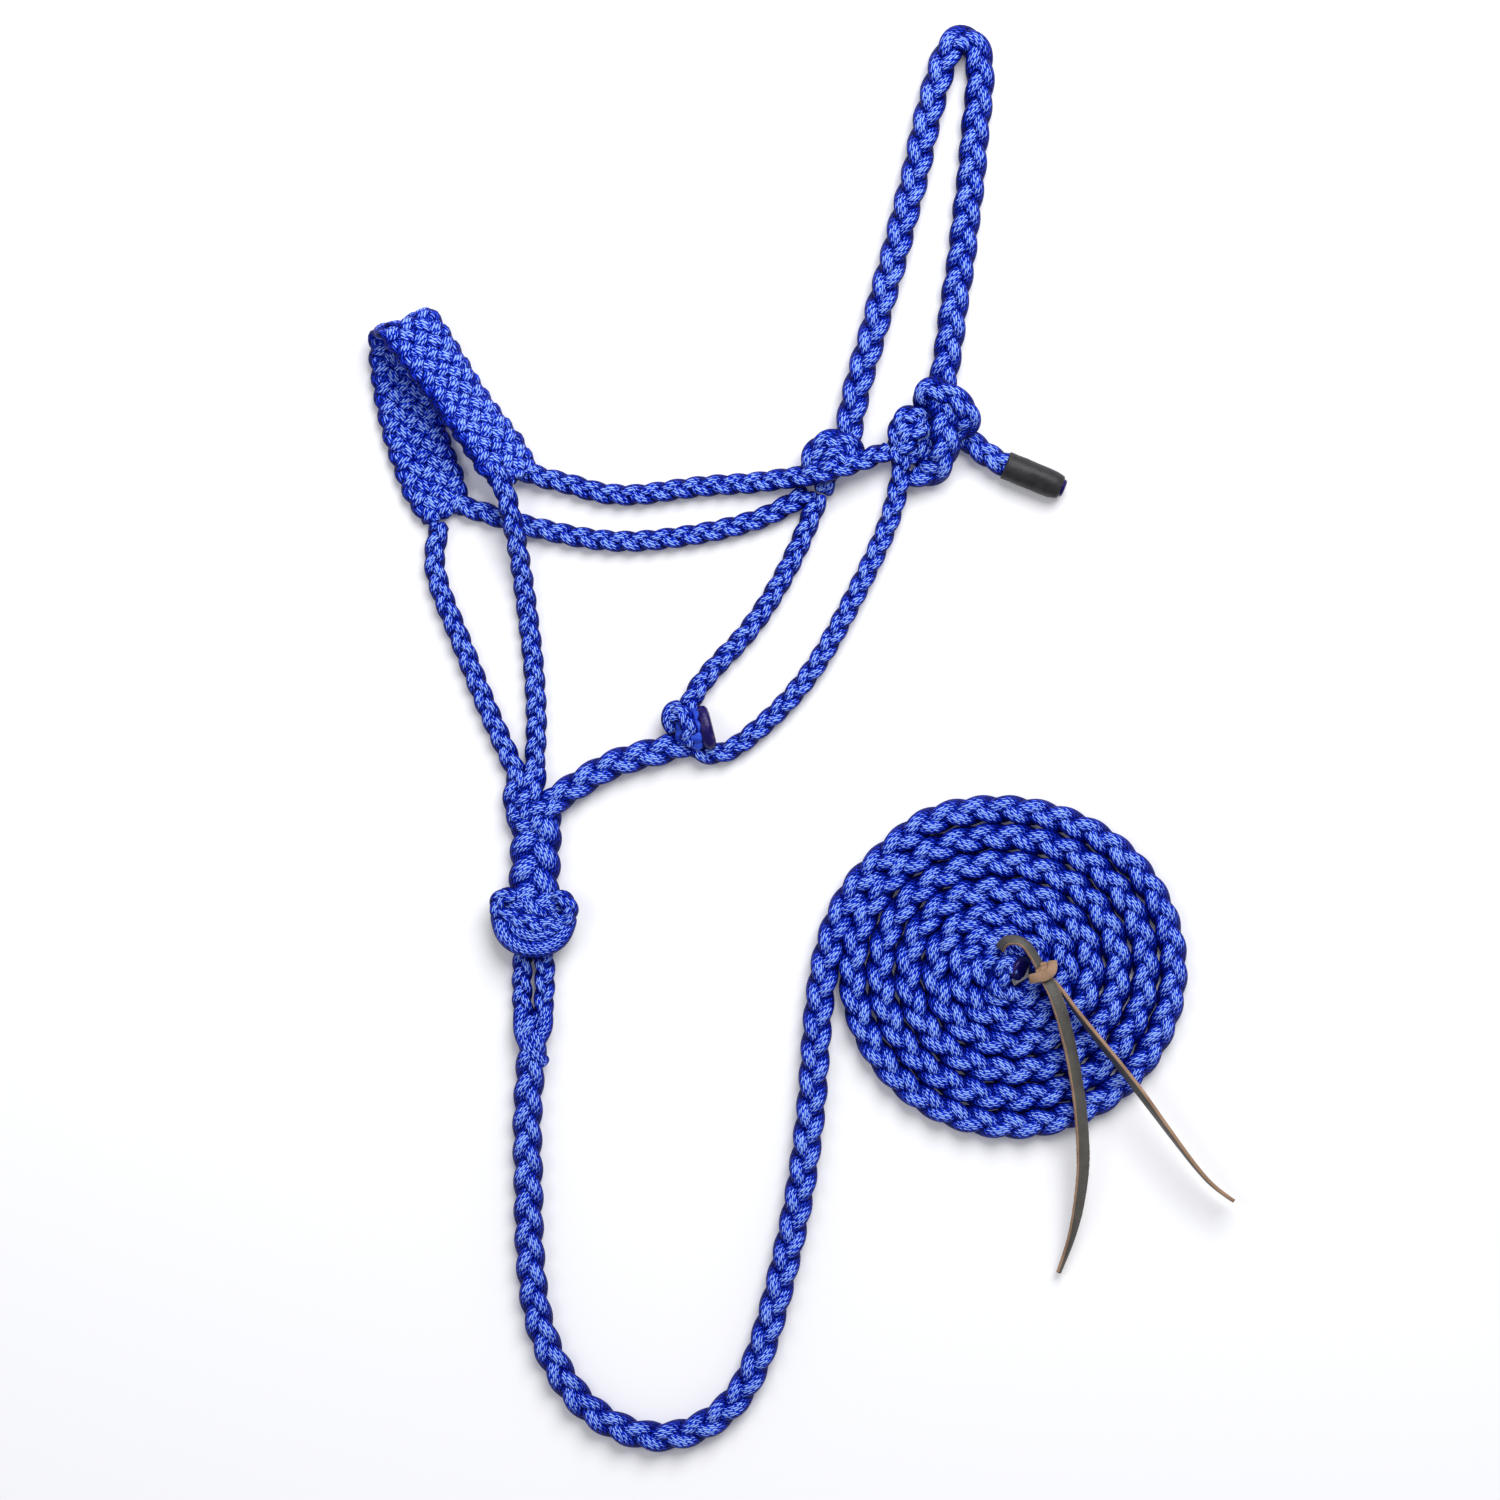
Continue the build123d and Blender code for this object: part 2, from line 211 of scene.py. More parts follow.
def plait(line, size, turn=0.0):
    """A round plait: each cord swings from side to side and dips under twice as often."""
    swing = (np.broadcast_to(size.width, line.along.shape) - size.cord_width) / 2
    dip = (size.thick - size.cord_thick) / 2
    strands = []
    for index in range(PLAIT_CORDS):
        phase = 2 * math.pi * (line.along / size.lay_length + index / PLAIT_CORDS) + turn
        sideways = swing * np.sin(phase)
        lift = np.sin(2 * phase)
        centre = line.points + sideways[:, None] * line.across + dip * lift[:, None] * line.face
        strands.append(strand(centre, line.face, size.cord_width, size.cord_thick, lift))
    return strands


def knot_plait(route, size, turn=0.0):
    """A short round plait along a knot's route."""
    return plait(Line(route, KNOT_STEP), size, turn)


EDGE_SHARPNESS = 0.93
SLOPE_SHARPNESS = 0.9
CROSSING_SHARPNESS = 1.9


def flat_plait(line, width, cord_width, cord_thick, lay_length, count, dip):
    """A flat plait: each cord slants from edge to edge, over one cord and under the next."""
    swing = (np.broadcast_to(width, line.along.shape) - cord_width) / 2
    strands = []
    for index in range(count):
        phase = 2 * math.pi * (line.along / lay_length + index / count)
        sideways = swing * np.arcsin(EDGE_SHARPNESS * np.cos(phase)) / math.asin(EDGE_SHARPNESS)
        slope = np.tanh(SLOPE_SHARPNESS * count * np.sin(phase))
        # This lift sets only the painted shading: each crossing painted lightest at its middle and darker
        # towards where it dives under.
        lift = np.cos(count * phase) * slope
        height = dip * np.tanh(CROSSING_SHARPNESS * np.cos(count * phase)) * slope
        centre = line.points + sideways[:, None] * line.across + height[:, None] * line.face
        strands.append(strand(centre, line.face, cord_width, cord_thick, lift))
    return strands


OVERLAP = 0.3


def bundle(route, count, width, cord_thick, bow=0.0):
    """Cords side by side along one route, the middle ones lifted by bow."""
    line = Line(route, KNOT_STEP)
    spacing = width / (count + OVERLAP)
    strands = []
    for index in range(count):
        place = index - (count - 1) / 2
        rise = bow * (1 - (2 * place / count) ** 2)
        centre = line.points + place * spacing * line.across + rise * line.face
        strands.append(strand(centre, line.face, (1 + OVERLAP) * spacing, cord_thick, BUNDLE_SHADING_LIFT))
    return strands


def dress(piece, body, slot, *nodes):
    """The piece rides its body and stands in for the plain CAD nodes; slot is not used."""
    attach(piece, body)
    if nodes:
        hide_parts(*nodes)
    return piece


# ---------------------------------------------------------------- straps and turned pieces


STRAP_THICK = 0.0024
FRAY = 0.00018
STRAP_OUTLINE = [
    (-1, -0.6), (-0.9, -1), (0, -1.04), (0.9, -1), (1, -0.6), (1, 0),
    (1, 0.6), (0.9, 1), (0, 1.04), (-0.9, 1), (-1, 0.6), (-1, 0),
]
STRAP_FLAT_SIDES = (1, 2, 7, 8)
TURNED_SIDES = 40


def mesh_of_rings(name, rings):
    """A closed mesh through rings of equally many points: its sides, and then its two ends."""
    sides = len(rings[0])
    faces = []
    for ring in range(len(rings) - 1):
        start = ring * sides
        following = start + sides
        for side in range(sides):
            after = (side + 1) % sides
            faces.append((start + side, start + after, following + after, following + side))
    last = (len(rings) - 1) * sides
    faces.append(tuple(reversed(range(sides))))
    faces.append(tuple(range(last, last + sides)))
    mesh = bpy.data.meshes.new(name)
    mesh.from_pydata(np.array(rings).reshape(-1, 3).tolist(), [], faces)
    return mesh


def strap_mesh(name, route, widths, tilts):
    """A leather strap with rough cut edges: its width and its tilt from flat vary along it."""
    line = Line(route, KNOT_STEP)
    share = line.along / line.length
    half = np.interp(share, np.linspace(0, 1, len(widths)), widths) / 2
    tilt = np.radians(np.interp(share, np.linspace(0, 1, len(tilts)), tilts))
    across = np.cos(tilt)[:, None] * line.across + np.sin(tilt)[:, None] * line.face
    out = np.cos(tilt)[:, None] * line.face - np.sin(tilt)[:, None] * line.across
    rings = []
    for index in range(len(share)):
        fray = RANDOM.uniform(-FRAY, FRAY, len(STRAP_OUTLINE))
        ring = []
        for rough, (wide, high) in zip(fray, STRAP_OUTLINE):
            cut = rough if abs(wide) == 1 else 0.0
            ring.append(line.points[index] + (wide * half[index] + cut) * across[index]
                        + high * STRAP_THICK / 2 * out[index])
        rings.append(ring)
    mesh = mesh_of_rings(name, rings)
    kinds = [0 if side in STRAP_FLAT_SIDES else 1 for side in range(len(STRAP_OUTLINE))]
    mesh.polygons.foreach_set("material_index", kinds * (len(rings) - 1) + [1, 1])
    return add_mesh(name, mesh, leather_face, leather_edge), line


def turned_mesh(name, origin, axis, profile, sizes, material, ripple):
    """A piece turned about an axis from (distance, radius) pairs; sizes stretch it across the axis."""
    axis = unit(np.array(axis, dtype=float))
    side_way = unit(np.cross(UP, axis))
    up_way = np.cross(axis, side_way)
    rings = []
    for step, (distance, radius) in enumerate(profile):
        ring = []
        for index in range(TURNED_SIDES):
            angle = 2 * math.pi * index / TURNED_SIDES
            waves = math.sin(3 * angle + 0.7 * step) + 0.6 * math.sin(7 * angle - 1.3 * step)
            uneven = radius * (1 + ripple * waves)
            sideways = sizes[0] * uneven * math.cos(angle)
            upward = sizes[1] * uneven * math.sin(angle)
            ring.append(np.array(origin) + distance * axis + sideways * side_way + upward * up_way)
        rings.append(ring)
    return add_mesh(name, mesh_of_rings(name, rings), material)


# ---------------------------------------------------------------- materials


class Nodes:
    """Short ways to add and join a material's nodes."""

    def __init__(self, name):
        self.material = bpy.data.materials.new(name)
        self.material.use_nodes = True
        self.tree = self.material.node_tree
        self.tree.nodes.clear()
        self.shader = self.add("ShaderNodeBsdfPrincipled")
        output = self.add("ShaderNodeOutputMaterial")
        self.join(self.shader.outputs["BSDF"], output.inputs["Surface"])

    def add(self, kind, **settings):
        node = self.tree.nodes.new(kind)
        for key, value in settings.items():
            setattr(node, key, value)
        return node

    def join(self, source, target):
        self.tree.links.new(source, target)

    def put(self, target, value):
        if isinstance(value, bpy.types.NodeSocket):
            self.join(value, target)
        else:
            target.default_value = value

    def math(self, operation, first, second=0.0):
        node = self.add("ShaderNodeMath", operation=operation)
        self.put(node.inputs[0], first)
        self.put(node.inputs[1], second)
        return node.outputs[0]

    def noise(self, scale, detail=3.0, vector=None, roughness=0.55):
        node = self.add("ShaderNodeTexNoise")
        node.inputs["Scale"].default_value = scale
        node.inputs["Detail"].default_value = detail
        node.inputs["Roughness"].default_value = roughness
        if vector is not None:
            self.join(vector, node.inputs["Vector"])
        return node.outputs["Fac"]

    def ramp(self, value, stops):
        node = self.add("ShaderNodeValToRGB")
        elements = node.color_ramp.elements
        while len(elements) < len(stops):
            elements.new(0.5)
        for element, (place, colour) in zip(elements, stops):
            element.position = place
            element.color = (*colour, 1.0)
        self.join(value, node.inputs["Fac"])
        return node.outputs["Color"]

    def bump(self, height, depth):
        node = self.add("ShaderNodeBump")
        node.inputs["Strength"].default_value = 1.0
        node.inputs["Distance"].default_value = depth
        self.join(height, node.inputs["Height"])
        self.join(node.outputs["Normal"], self.shader.inputs["Normal"])


WANDER_SCALE = 420.0
PATCH_SCALE = 110.0
ROW_SHIFT = 0.37


def yarn_heights(nodes, coords, yarn_length, yarn_width, slant):
    """How high the surface stands, from 0 in the gaps to 1: slanted rows of short yarns."""
    turned = nodes.add("ShaderNodeMapping")
    turned.inputs["Rotation"].default_value = (0.0, 0.0, slant)
    nodes.join(coords, turned.inputs["Vector"])
    place = nodes.add("ShaderNodeSeparateXYZ")
    nodes.join(turned.outputs["Vector"], place.inputs["Vector"])
    wander = nodes.math("SUBTRACT", nodes.noise(WANDER_SCALE, 2.0, coords), 0.5)
    rows = nodes.math("ADD", nodes.math("DIVIDE", place.outputs["Y"], yarn_width),
                      nodes.math("MULTIPLY", wander, 1.6))
    in_row = nodes.math("FRACT", rows)
    shifted = nodes.math("ADD", nodes.math("DIVIDE", place.outputs["X"], yarn_length),
                         nodes.math("MULTIPLY", nodes.math("FLOOR", rows), ROW_SHIFT))
    in_yarn = nodes.math("FRACT", nodes.math("ADD", shifted, nodes.math("MULTIPLY", wander, 0.5)))
    rise = nodes.math("MULTIPLY", in_row, 4.0)
    across = nodes.math("MULTIPLY", rise, nodes.math("SUBTRACT", 1.0, in_row))
    from_middle = nodes.math("SUBTRACT", nodes.math("MULTIPLY", in_yarn, 2.0), 1.0)
    tapered = nodes.math("POWER", nodes.math("ABSOLUTE", from_middle), 3.0)
    return nodes.math("MULTIPLY", across, nodes.math("SUBTRACT", 1.0, tapered))


def stitched_cord(name, yarn_length, yarn_width, slant, shades):
    """Braided cord of satin yarns in painted light and shade: painted lighter on top, darker on its sides
    and low in a plait, with painted highlights on the yarns and painted shade in their gaps.
    """
    nodes = Nodes(name)
    coords = nodes.add("ShaderNodeUVMap", uv_map="cord").outputs["UV"]
    painted_shading_uv = nodes.add("ShaderNodeUVMap", uv_map="relief")
    relief = nodes.add("ShaderNodeSeparateXYZ")
    nodes.join(painted_shading_uv.outputs["UV"], relief.inputs["Vector"])
    height = yarn_heights(nodes, coords, yarn_length, yarn_width, slant)
    patches = nodes.math("SUBTRACT", nodes.noise(PATCH_SCALE, 3.0, coords), 0.5)
    # Painted light and shade: cords painted lighter on top and darker on their sides and low in a plait,
    # yarn tops painted as highlights and their gaps as shade; the patches are random tone.
    lit = nodes.math("MULTIPLY", nodes.math("POWER", relief.outputs["X"], 1.4), 0.62)
    shade = nodes.math("ADD", lit, nodes.math("MULTIPLY", height, 0.60))
    shade = nodes.math("ADD", shade, nodes.math("MULTIPLY", patches, 0.5))
    nodes.join(nodes.ramp(shade, shades), nodes.shader.inputs["Base Color"])
    nodes.shader.inputs["Roughness"].default_value = 0.45
    nodes.shader.inputs["Specular IOR Level"].default_value = 0.4
    nodes.shader.inputs["Specular Tint"].default_value = (0.12, 0.25, 1.0, 1.0)
    nodes.bump(height, 0.0006)
    return nodes.material


def smooth_cord(name, colour, dark):
    """Cord end pulled smooth: fine fibres along it."""
    nodes = Nodes(name)
    coords = nodes.add("ShaderNodeUVMap", uv_map="cord")
    stretched = nodes.add("ShaderNodeMapping")
    stretched.inputs["Scale"].default_value = (60.0, 1600.0, 1.0)
    nodes.join(coords.outputs["UV"], stretched.inputs["Vector"])
    fibres = nodes.noise(1.0, 3.0, stretched.outputs["Vector"])
    nodes.join(nodes.ramp(fibres, [(0.3, dark), (0.7, colour)]), nodes.shader.inputs["Base Color"])
    nodes.shader.inputs["Roughness"].default_value = 0.33
    nodes.shader.inputs["Specular Tint"].default_value = (0.3, 0.45, 1.0, 1.0)
    nodes.bump(fibres, 0.0003)
    return nodes.material


def melted(name):
    """Cord melted hard: dark violet with brown streaks, slightly glossy."""
    nodes = Nodes(name)
    coords = nodes.add("ShaderNodeTexCoord")
    streaks = nodes.noise(260.0, 4.0, coords.outputs["Object"])
    stops = [(0.38, (0.001, 0.001, 0.06)), (0.58, (0.008, 0.004, 0.10)), (0.78, (0.09, 0.045, 0.06))]
    nodes.join(nodes.ramp(streaks, stops), nodes.shader.inputs["Base Color"])
    nodes.shader.inputs["Roughness"].default_value = 0.28
    nodes.shader.inputs["Specular Tint"].default_value = (0.55, 0.45, 0.7, 1.0)
    nodes.bump(streaks, 0.0006)
    return nodes.material


def leather(name, dark, light, roughness, grain):
    """Leather with fine grain and a few darker patches."""
    nodes = Nodes(name)
    coords = nodes.add("ShaderNodeTexCoord")
    patches = nodes.noise(70.0, 4.0, coords.outputs["Object"])
    pores = nodes.noise(grain, 5.0, coords.outputs["Object"], 0.7)
    mixed = nodes.math("ADD", nodes.math("MULTIPLY", patches, 0.5), nodes.math("MULTIPLY", pores, 0.5))
    nodes.join(nodes.ramp(mixed, [(0.35, dark), (0.65, light)]), nodes.shader.inputs["Base Color"])
    nodes.shader.inputs["Roughness"].default_value = roughness
    nodes.bump(pores, 0.0003)
    return nodes.material


def shrunk_tube(name):
    """Heat-shrunk sleeve: matt charcoal with faint lengthwise waves."""
    nodes = Nodes(name)
    coords = nodes.add("ShaderNodeTexCoord")
    waves = nodes.noise(120.0, 3.0, coords.outputs["Object"])
    stops = [(0.3, (0.014, 0.014, 0.016)), (0.75, (0.034, 0.034, 0.038))]
    nodes.join(nodes.ramp(waves, stops), nodes.shader.inputs["Base Color"])
    nodes.shader.inputs["Roughness"].default_value = 0.45
    nodes.shader.inputs["Specular IOR Level"].default_value = 0.25
    nodes.bump(waves, 0.0008)
    return nodes.material


def floor_finish(name):
    """Matt white paper that glows faintly, so that no gap in a plait goes black."""
    nodes = Nodes(name)
    nodes.shader.inputs["Base Color"].default_value = (0.93, 0.93, 0.95, 1.0)
    nodes.shader.inputs["Roughness"].default_value = 0.9
    nodes.shader.inputs["Specular IOR Level"].default_value = 0.1
    nodes.shader.inputs["Emission Color"].default_value = (0.85, 0.87, 1.0, 1.0)
    nodes.shader.inputs["Emission Strength"].default_value = 0.06
    return nodes.material


# The cord's colour ramp: its darkest stops are painted shade for yarn gaps, cord sides and low cords, its
# middle stops the cord's own blue, and its near-white top stop a painted highlight on the yarn tops.
BLUE_PAINTED_SHADE_TO_HIGHLIGHT = [
    (0.32, (0.0, 0.0002, 0.055)),
    (0.54, (0.001, 0.004, 0.25)),
    (0.70, (0.002, 0.014, 0.58)),
    (0.835, (0.026, 0.098, 0.92)),
    (0.94, (0.30, 0.47, 1.0)),
]
YARN_LENGTH = 0.0056
YARN_WIDTH = 0.0013
YARN_SLANT = math.radians(22)

cord_blue = stitched_cord("cord_blue", YARN_LENGTH, YARN_WIDTH, YARN_SLANT, BLUE_PAINTED_SHADE_TO_HIGHLIGHT)
cord_smooth = smooth_cord("cord_smooth", (0.045, 0.12, 0.80), (0.002, 0.012, 0.36))
melted_end = melted("melted_end")
leather_face = leather("leather_face", (0.050, 0.046, 0.040), (0.105, 0.096, 0.082), 0.55, 900.0)
leather_edge = leather("leather_edge", (0.22, 0.12, 0.07), (0.44, 0.28, 0.18), 0.85, 1400.0)
sleeve_black = shrunk_tube("sleeve_black")


# ---------------------------------------------------------------- camera, light and floor

VIEW_CENTRE = (0.0227, -0.1733)
VIEW_WIDTH = 1.0
CAMERA_HEIGHT = 3.0
SENSOR = 36.0
FLOOR_REACH = 6.0
SKY_STRENGTH = 0.36
SOFTBOXES = {
    "key": ((0.7, 1.5, 2.2), 2.2, 82.0),
    "fill": ((-1.6, 0.2, 2.6), 1.6, 14.0),
}


def add_camera():
    data = bpy.data.cameras.new("overhead")
    data.sensor_width = SENSOR
    data.lens = SENSOR * CAMERA_HEIGHT / VIEW_WIDTH
    data.clip_end = 20.0
    camera = bpy.data.objects.new("overhead", data)
    camera.location = (*VIEW_CENTRE, CAMERA_HEIGHT)
    bpy.context.scene.collection.objects.link(camera)
    bpy.context.scene.camera = camera


def add_softbox(name, place, size, power):
    data = bpy.data.lights.new(name, "AREA")
    data.shape = "DISK"
    data.size = size
    data.energy = power
    light = bpy.data.objects.new(name, data)
    light.location = place
    aim = Vector((*VIEW_CENTRE, 0.0)) - Vector(place)
    light.rotation_euler = aim.to_track_quat("-Z", "Y").to_euler()
    bpy.context.scene.collection.objects.link(light)


def add_floor():
    mesh = bpy.data.meshes.new("floor")
    signs = [(-1, -1), (1, -1), (1, 1), (-1, 1)]
    corners = [(x * FLOOR_REACH, y * FLOOR_REACH, 0.0) for x, y in signs]
    mesh.from_pydata(corners, [], [(0, 1, 2, 3)])
    mesh.materials.append(floor_finish("floor_white"))
    floor = bpy.data.objects.new("floor", mesh)
    bpy.context.scene.collection.objects.link(floor)


def add_world():
    world = bpy.data.worlds.new("studio")
    world.use_nodes = True
    background = world.node_tree.nodes["Background"]
    background.inputs["Color"].default_value = (0.96, 0.97, 1.0, 1.0)
    background.inputs["Strength"].default_value = SKY_STRENGTH
    bpy.context.scene.world = world


add_camera()
add_world()
add_floor()
for softbox, (place, size, power) in SOFTBOXES.items():
    add_softbox(softbox, place, size, power)
bpy.context.scene.view_settings.view_transform = "Standard"


# ---------------------------------------------------------------- the lead

LEAD_SIZE = Size(0.0205, 0.0160, 0.058, 0.0104, 0.0082)
LEAD_STEP = 0.0021
LEAD_HEIGHT = 0.0082
COIL_WIDTH = 0.0195
COIL_WIDTH_FROM = 0.74
COIL_WIDTH_OVER = 0.12
COIL_CENTRE = (0.1973, -0.3187)
COIL_STRETCH = 1.03
COIL_RADII = (0.127, 0.1058, 0.0876, 0.0694, 0.0516, 0.0354, 0.0200, 0.0110)
COIL_POINTS = 16
COIL_START = 0.17
COIL_END = 6.40
COIL_STEP_IN = 0.3

LEAD_ROUTE = [
    (-0.1215, -0.3500), (-0.1218, -0.3640), (-0.1230, -0.3820), (-0.1250, -0.4070),
    (-0.1255, -0.4330), (-0.1245, -0.4600), (-0.1245, -0.4900), (-0.1230, -0.5200),
    (-0.1190, -0.5500), (-0.1090, -0.5790), (-0.0910, -0.6070), (-0.0650, -0.6250),
    (-0.0360, -0.6315), (-0.0080, -0.6240), (0.0150, -0.6050), (0.0290, -0.5770),
    (0.0390, -0.5430), (0.0470, -0.5100), (0.0550, -0.4730), (0.0600, -0.4400),
    (0.0640, -0.4060), (0.0660, -0.3740), (0.0685, -0.3420), (0.0730, -0.3120),
    (0.0810, -0.2850), (0.0940, -0.2620), (0.1120, -0.2440),
]


def coil_radius(turns):
    """The coil's radius, this many turns on from its left: each turn steps in on its first third."""
    whole = int(turns)
    part = min((turns - whole) / COIL_STEP_IN, 1.0)
    ease = part * part * (3 - 2 * part)
    return COIL_RADII[whole] + (COIL_RADII[whole + 1] - COIL_RADII[whole]) * ease


def coil_route():
    """Points around the coil, from where the lead runs into it to its inner end."""
    places = []
    for index in range(int((COIL_END - COIL_START) * COIL_POINTS) + 1):
        turns = COIL_START + index / COIL_POINTS
        angle = math.pi - 2 * math.pi * turns
        radius = coil_radius(turns)
        places.append((COIL_CENTRE[0] + COIL_STRETCH * radius * math.cos(angle),
                       COIL_CENTRE[1] + radius * math.sin(angle), LEAD_HEIGHT))
    return places


lead_line = Line([(x, y, LEAD_HEIGHT) for x, y in LEAD_ROUTE] + coil_route(), LEAD_STEP)
in_coil = np.clip((lead_line.along - COIL_WIDTH_FROM) / COIL_WIDTH_OVER, 0.0, 1.0)
lead_width = LEAD_SIZE.width + (COIL_WIDTH - LEAD_SIZE.width) * in_coil
lead_cords = plait(lead_line, LEAD_SIZE._replace(width=lead_width))
lead_plait = cord_mesh("lead_plait", lead_cords, cord_blue)
dress(lead_plait, "lead", "rope", "lead_rope", "lead_coil")

EYE_ROUTE = [
    (-0.1185, -0.3660, 0.0066), (-0.1148, -0.3480, 0.0066), (-0.1137, -0.3300, 0.0066),
    (-0.1137, -0.3130, 0.0066), (-0.1165, -0.3010, 0.0066), (-0.1255, -0.3010, 0.0066),
    (-0.1288, -0.3130, 0.0066), (-0.1290, -0.3300, 0.0066), (-0.1285, -0.3480, 0.0066),
    (-0.1250, -0.3660, 0.0066),
]
EYE_CROSSINGS = [
    [(-0.1290, -0.3430, 0.0080), (-0.1305, -0.3560, 0.0105), (-0.1270, -0.3680, 0.0130),
     (-0.1190, -0.3760, 0.0125), (-0.1130, -0.3830, 0.0080)],
    [(-0.1145, -0.3430, 0.0080), (-0.1120, -0.3540, 0.0105), (-0.1160, -0.3640, 0.0110),
     (-0.1235, -0.3740, 0.0100), (-0.1290, -0.3830, 0.0070)],
]
EYE_SIZE = Size(0.0142, 0.0118, 0.038, 0.0070, 0.0058)
eye_cords = knot_plait(EYE_ROUTE, EYE_SIZE)
for crossing in EYE_CROSSINGS:
    eye_cords += bundle(crossing, 1, 0.0105, 0.0075)
lead_eye = dress(cord_mesh("lead_eye_plait", eye_cords, cord_blue), "lead", "rope", "lead_eye")

END_ROUTE = [
    (0.1940, -0.3400, 0.0090), (0.1885, -0.3310, 0.0120), (0.1885, -0.3200, 0.0155),
    (0.1935, -0.3155, 0.0175), (0.2010, -0.3180, 0.0180),
]
END_SIZE = Size(0.0172, 0.0160, 0.050, 0.0090, 0.0082)
END_CENTRE = (0.2018, -0.3184, 0.0182)
END_AXIS = (0.76, -0.38, 0.52)
END_PROFILE = [
    (-0.0060, 0.0060), (-0.0030, 0.0078), (0.0, 0.0084),
    (0.0012, 0.0078), (0.0016, 0.0050), (0.0010, 0.0014),
]
end_cords = knot_plait(END_ROUTE, END_SIZE, 0.6)
lead_end = dress(cord_mesh("lead_end_plait", end_cords, cord_blue), "lead", "rope", "lead_end")
lead_melt = turned_mesh("lead_melted_end", END_CENTRE, END_AXIS, END_PROFILE, (1.0, 1.0), melted_end, 0.03)
dress(lead_melt, "lead", "melted_cord")

# ---------------------------------------------------------------- the popper on the lead's end

LOOP_ROUTE = [
    (0.1885, -0.3045, 0.0185), (0.1905, -0.3000, 0.0240), (0.1960, -0.2985, 0.0275),
    (0.2020, -0.2995, 0.0290), (0.2080, -0.3050, 0.0290), (0.2140, -0.3160, 0.0270),
]
WRAP_ROUTE = [
    (0.2075, -0.3245, 0.0290), (0.2120, -0.3235, 0.0330), (0.2185, -0.3215, 0.0345),
    (0.2225, -0.3185, 0.0335), (0.2225, -0.3130, 0.0280),
]
TONGUE_NEAR = [
    (0.2170, -0.3220, 0.0270), (0.2220, -0.3300, 0.0310), (0.2265, -0.3420, 0.0315),
    (0.2310, -0.3570, 0.0305), (0.2360, -0.3780, 0.0260), (0.2405, -0.4030, 0.0235),
    (0.2430, -0.4300, 0.0215), (0.2435, -0.4500, 0.0200), (0.2415, -0.4700, 0.0170),
    (0.2385, -0.4880, 0.0130), (0.2340, -0.5050, 0.0090), (0.2280, -0.5210, 0.0060),
]
TONGUE_FAR = [
    (0.2190, -0.3220, 0.0235), (0.2250, -0.3275, 0.0242), (0.2310, -0.3355, 0.0240),
    (0.2390, -0.3470, 0.0240), (0.2500, -0.3610, 0.0242), (0.2630, -0.3770, 0.0243),
    (0.2780, -0.3960, 0.0243), (0.2920, -0.4150, 0.0240), (0.3060, -0.4340, 0.0230),
    (0.3190, -0.4510, 0.0210), (0.3310, -0.4640, 0.0190), (0.3430, -0.4720, 0.0170),
]
NEAR_WIDTHS = (0.0080, 0.0100, 0.0100, 0.0100, 0.0075, 0.0026)
NEAR_TILTS = (12, 38, 36, 30, 46)
FAR_WIDTHS = (0.0080, 0.0100, 0.0100, 0.0095, 0.0080, 0.0060)
FAR_TILTS = (-88, -72, -66, -78, -86)
TONGUES = {
    "tongue_near": (TONGUE_NEAR, NEAR_WIDTHS, NEAR_TILTS),
    "tongue_far": (TONGUE_FAR, FAR_WIDTHS, FAR_TILTS),
}
NECK_PLACE = (0.2175, -0.3195)
NECK_FOOT = (*NECK_PLACE, 0.0190)
NECK_AXIS = (0.05, -0.05, 1.0)
NECK_PROFILE = [(0.0, 0.0046), (0.0060, 0.0047), (0.0120, 0.0044), (0.0130, 0.0030), (0.0132, 0.0006)]
NECK_RADIUS = 0.0052
WRAP_TURNS = 2.2
WRAP_POINTS = 12
WRAP_FOOT = 0.0200
WRAP_PITCH = 0.0040


def wrap_route():
    """A strap wound around the popper's neck, from low to high."""
    places = []
    for index in range(int(WRAP_TURNS * WRAP_POINTS)):
        angle = 2 * math.pi * index / WRAP_POINTS
        places.append((NECK_PLACE[0] + NECK_RADIUS * math.cos(angle),
                       NECK_PLACE[1] + NECK_RADIUS * math.sin(angle),
                       WRAP_FOOT + WRAP_PITCH * index / WRAP_POINTS))
    return places


loop_strap, _ = strap_mesh("popper_loop_strap", LOOP_ROUTE, (0.0070, 0.0070), (30, 42, 36))
dress(loop_strap, "lead", "leather", "popper_loop")
neck_wrap, _ = strap_mesh("popper_neck_wrap", wrap_route(), (0.0052, 0.0052), (90, 90))
dress(neck_wrap, "lead", "leather", "popper_knot")
neck_core = turned_mesh("popper_neck_core", NECK_FOOT, NECK_AXIS, NECK_PROFILE, (1.0, 1.0),
                        leather_edge, 0.05)
dress(neck_core, "lead", "leather")
top_wrap, _ = strap_mesh("popper_top_wrap", WRAP_ROUTE, (0.0062, 0.0072, 0.0058), (6, -10, 8))
top_wrap.data.materials[0] = leather_edge
dress(top_wrap, "lead", "leather")
for body, (route, widths, tilts) in TONGUES.items():
    tongue, line = strap_mesh(f"popper_{body}_strap", route, widths, tilts)
    dress(tongue, body, "leather", f"popper_{body}")
    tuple(route[0])

# ---------------------------------------------------------------- noseband

